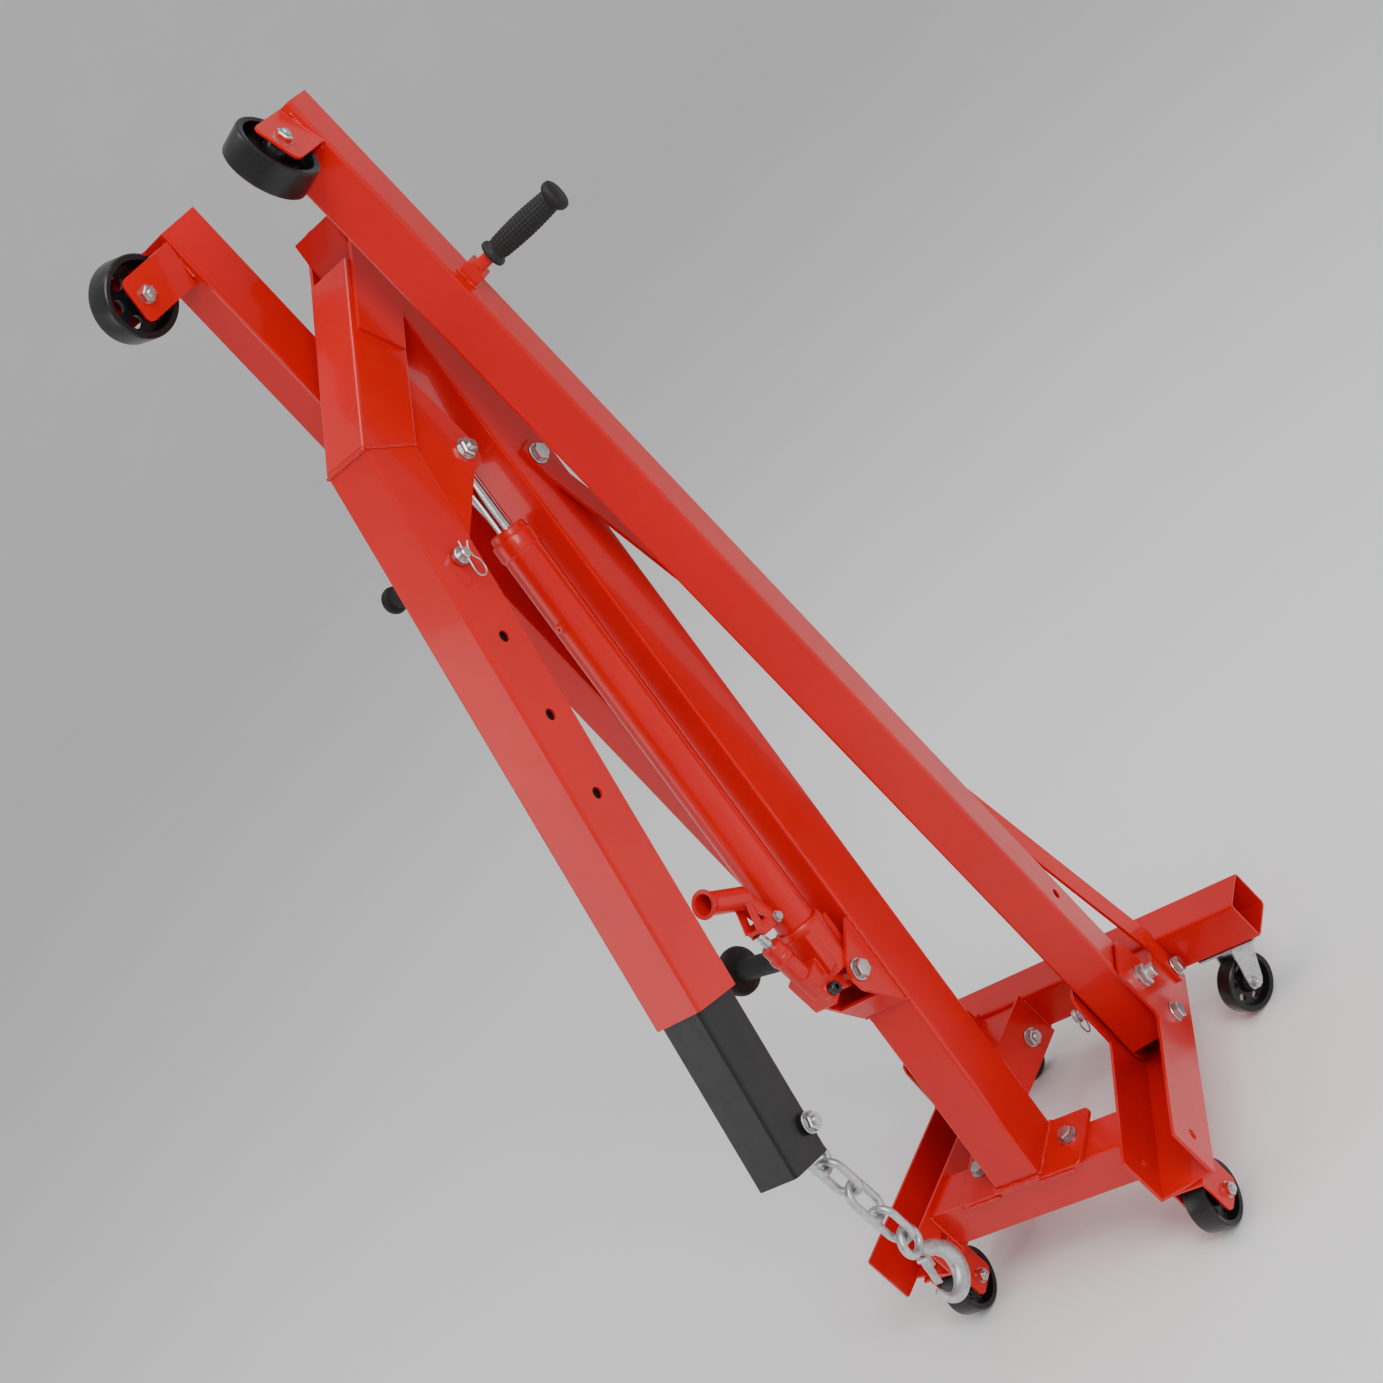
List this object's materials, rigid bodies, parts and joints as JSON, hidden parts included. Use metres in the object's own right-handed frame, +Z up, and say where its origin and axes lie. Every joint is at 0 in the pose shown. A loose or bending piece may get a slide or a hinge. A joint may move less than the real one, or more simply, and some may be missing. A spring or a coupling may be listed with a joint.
{
  "type": "folding engine crane",
  "caption": "Folding workshop engine crane shown folded: wheeled base, leaning mast, two upright legs, boom with sliding extension, hydraulic ram, chain and hook.",
  "frame": {"origin": "centre of the bounding box's base, on the floor under the folded crane", "axes": "+Z up, -Y the way the legs and boom point when lowered, +X to the crane's right seen from behind it"},
  "size_m": [0.6182, 0.6762, 1.5947],
  "materials": {
    "red_paint": "gloss",
    "black_paint": "satin",
    "wheel_black": "painted, semi-gloss",
    "rubber": "matt",
    "zinc_plate": "zinc plated",
    "galvanised": "galvanised",
    "chrome": "hard chrome"
  },
  "bodies": {
    "base": {"rear_cross_tube": "red_paint", "front_cross_tube": "red_paint", "mast_foot": "red_paint", "mast": "red_paint", "ram_bracket": "red_paint", "ram_foot_bolt": "zinc_plate", "boom_pivot_bolt": "zinc_plate", "brace_bolt_top": "zinc_plate", "leg_pocket_r": "red_paint", "front_fork_r": "red_paint", "caster_plate_r": "galvanised", "leg_pivot_bolt_r": "zinc_plate", "foot_bolt_r": "zinc_plate", "brace_r": "red_paint", "brace_bolt_r": "zinc_plate", "leg_pocket_l": "red_paint", "front_fork_l": "red_paint", "caster_plate_l": "galvanised", "leg_pivot_bolt_l": "zinc_plate", "foot_bolt_l": "zinc_plate", "brace_l": "red_paint", "brace_bolt_l": "zinc_plate"},
    "leg_right": {"leg_r": "red_paint", "leg_fork_r": "red_paint", "side_handle_r": "red_paint", "side_grip_r": "rubber"},
    "leg_wheel_right": {"leg_wheel_r": "wheel_black"},
    "front_wheel_right": {"front_wheel_r": "wheel_black"},
    "caster_right": {"caster_fork_r": "galvanised"},
    "caster_wheel_right": {"caster_wheel_r": "wheel_black"},
    "lock_pin_right": {"lock_pin_r": "zinc_plate"},
    "leg_left": {"leg_l": "red_paint", "leg_fork_l": "red_paint", "side_handle_l": "red_paint", "side_grip_l": "rubber", "side_buffer": "rubber"},
    "leg_wheel_left": {"leg_wheel_l": "wheel_black"},
    "front_wheel_left": {"front_wheel_l": "wheel_black"},
    "caster_left": {"caster_fork_l": "galvanised"},
    "caster_wheel_left": {"caster_wheel_l": "wheel_black"},
    "lock_pin_left": {"lock_pin_l": "zinc_plate"},
    "boom": {"boom": "red_paint", "ram_head_bolt_r": "zinc_plate", "ram_head_bolt_l": "zinc_plate"},
    "ram_cylinder": {"ram_cylinder": "red_paint", "lever_axle": "zinc_plate"},
    "ram_rod": {"ram_rod": "chrome"},
    "extension": {"boom_extension": "black_paint", "chain_bolt": "zinc_plate"},
    "reach_pin": {"reach_pin": "zinc_plate"},
    "pin_clip": {"pin_clip": "zinc_plate"},
    "link_1": {"chain_link_1": "galvanised"},
    "link_2": {"chain_link_2": "galvanised"},
    "link_3": {"chain_link_3": "galvanised"},
    "link_4": {"chain_link_4": "galvanised"},
    "hook": {"hook": "galvanised"},
    "hook_latch": {"hook_latch": "zinc_plate"},
    "lever_socket": {"lever_socket": "red_paint"},
    "pump_plunger": {"pump_plunger": "zinc_plate"},
    "release_valve": {"release_valve": "zinc_plate"}
  },
  "joints": [
    {"name": "leg_fold_right", "type": "hinge", "parent": "base", "child": "leg_right", "pos_m": [0.16269, 0.1318, 0.1225], "axis": [0.9724, 0.2334, 0], "range_deg": [0, 92.9]},
    {"name": "leg_wheel_spin_right", "type": "hinge", "parent": "leg_right", "child": "leg_wheel_right", "pos_m": [0.1632, 0.12969, 1.54561], "axis": [0.942, 0.2416, 0.233], "continuous": true},
    {"name": "front_wheel_spin_right", "type": "hinge", "parent": "base", "child": "front_wheel_right", "pos_m": [0.214, -0.08193, 0.04], "axis": [1, 0, 0], "continuous": true},
    {"name": "caster_swivel_right", "type": "hinge", "parent": "base", "child": "caster_right", "pos_m": [0.23869, 0.2764, 0.086], "axis": [0, 0, 1], "continuous": true},
    {"name": "caster_wheel_spin_right", "type": "hinge", "parent": "caster_right", "child": "caster_wheel_right", "pos_m": [0.22642, 0.25123, 0.0375], "axis": [0.8988, -0.4384, 0], "continuous": true},
    {"name": "lock_pull_right", "type": "slide", "parent": "base", "child": "lock_pin_right", "axis": [-0.9724, -0.2334, 0], "range_m": [0, 0.018]},
    {"name": "leg_fold_left", "type": "hinge", "parent": "base", "child": "leg_left", "pos_m": [-0.10131, 0.1318, 0.1225], "axis": [0.9724, -0.2334, 0], "range_deg": [0, 92.9]},
    {"name": "leg_wheel_spin_left", "type": "hinge", "parent": "leg_left", "child": "leg_wheel_left", "pos_m": [-0.10182, 0.12969, 1.54561], "axis": [0.942, -0.2416, -0.233], "continuous": true},
    {"name": "front_wheel_spin_left", "type": "hinge", "parent": "base", "child": "front_wheel_left", "pos_m": [-0.15262, -0.08193, 0.04], "axis": [1, 0, 0], "continuous": true},
    {"name": "caster_swivel_left", "type": "hinge", "parent": "base", "child": "caster_left", "pos_m": [-0.17731, 0.2764, 0.086], "axis": [0, 0, 1], "continuous": true},
    {"name": "caster_wheel_spin_left", "type": "hinge", "parent": "caster_left", "child": "caster_wheel_left", "pos_m": [-0.151, 0.28598, 0.0375], "axis": [-0.342, 0.9397, 0], "continuous": true},
    {"name": "lock_pull_left", "type": "slide", "parent": "base", "child": "lock_pin_left", "axis": [0.9724, -0.2334, 0], "range_m": [0, 0.018]},
    {"name": "boom_lift", "type": "hinge", "parent": "base", "child": "boom", "pos_m": [0.03069, 0.2968, 1.4405], "axis": [-1, 0, 0], "range_deg": [0, 85]},
    {"name": "ram_swing", "type": "hinge", "parent": "base", "child": "ram_cylinder", "pos_m": [0.03069, -0.0442, 0.4905], "axis": [1, 0, 0], "range_deg": [-0.5, 11.93]},
    {"name": "ram_extend", "type": "slide", "parent": "ram_cylinder", "child": "ram_rod", "axis": [0, 0.2678, 0.9635], "range_m": [-0.002, 0.3548]},
    {"name": "extension_slide", "type": "slide", "parent": "boom", "child": "extension", "axis": [0, -0.4145, -0.9101], "range_m": [0, 0.285]},
    {"name": "reach_pin_pull", "type": "slide", "parent": "boom", "child": "reach_pin", "axis": [1, 0, 0], "range_m": [0, 0.03]},
    {"name": "pin_clip_pull", "type": "slide", "parent": "reach_pin", "child": "pin_clip", "axis": [0, -0.4145, -0.9101], "range_m": [0, 0.03]},
    {"name": "link_swing_1", "type": "hinge", "parent": "extension", "child": "link_1", "pos_m": [0.03069, -0.27156, 0.49505], "axis": [1, 0, 0], "range_deg": [-15, 15]},
    {"name": "link_swing_2", "type": "hinge", "parent": "link_1", "child": "link_2", "pos_m": [0.03069, -0.27156, 0.43955], "axis": [1, 0, 0], "range_deg": [-18, 18]},
    {"name": "link_swing_3", "type": "hinge", "parent": "link_2", "child": "link_3", "pos_m": [0.03069, -0.27156, 0.38795], "axis": [1, 0, 0], "range_deg": [-18, 18]},
    {"name": "link_swing_4", "type": "hinge", "parent": "link_3", "child": "link_4", "pos_m": [0.03069, -0.27156, 0.35475], "axis": [1, 0, 0], "range_deg": [-18, 18]},
    {"name": "hook_swing", "type": "hinge", "parent": "link_4", "child": "hook", "pos_m": [0.03069, -0.27156, 0.30315], "axis": [1, 0, 0], "range_deg": [-18, 18]},
    {"name": "latch_open", "type": "hinge", "parent": "hook", "child": "hook_latch", "pos_m": [0.03069, -0.27856, 0.27225], "axis": [1, 0, 0], "range_deg": [0, 22], "stiffness_Nm_per_rad": 0.02, "springref_deg": -17.19},
    {"name": "lever_pump", "type": "hinge", "parent": "ram_cylinder", "child": "lever_socket", "pos_m": [0.03069, -0.0492, 0.6025], "axis": [1, 0, 0], "range_deg": [-10, 20]},
    {"name": "plunger_stroke", "type": "slide", "parent": "ram_cylinder", "child": "pump_plunger", "axis": [0, 0, -1], "range_m": [-0.006, 0.0115]},
    {"name": "release_turn", "type": "hinge", "parent": "ram_cylinder", "child": "release_valve", "pos_m": [0.05469, -0.0837, 0.5085], "axis": [1, 0, 0], "range_deg": [0, 180]}
  ],
  "couplings": [
    {"joint": "ram_swing", "follows": "boom_lift", "ratio": 0.13442},
    {"joint": "ram_extend", "follows": "boom_lift", "m_per_rad": 0.2378},
    {"joint": "plunger_stroke", "follows": "lever_pump", "m_per_rad": 0.031}
  ]
}
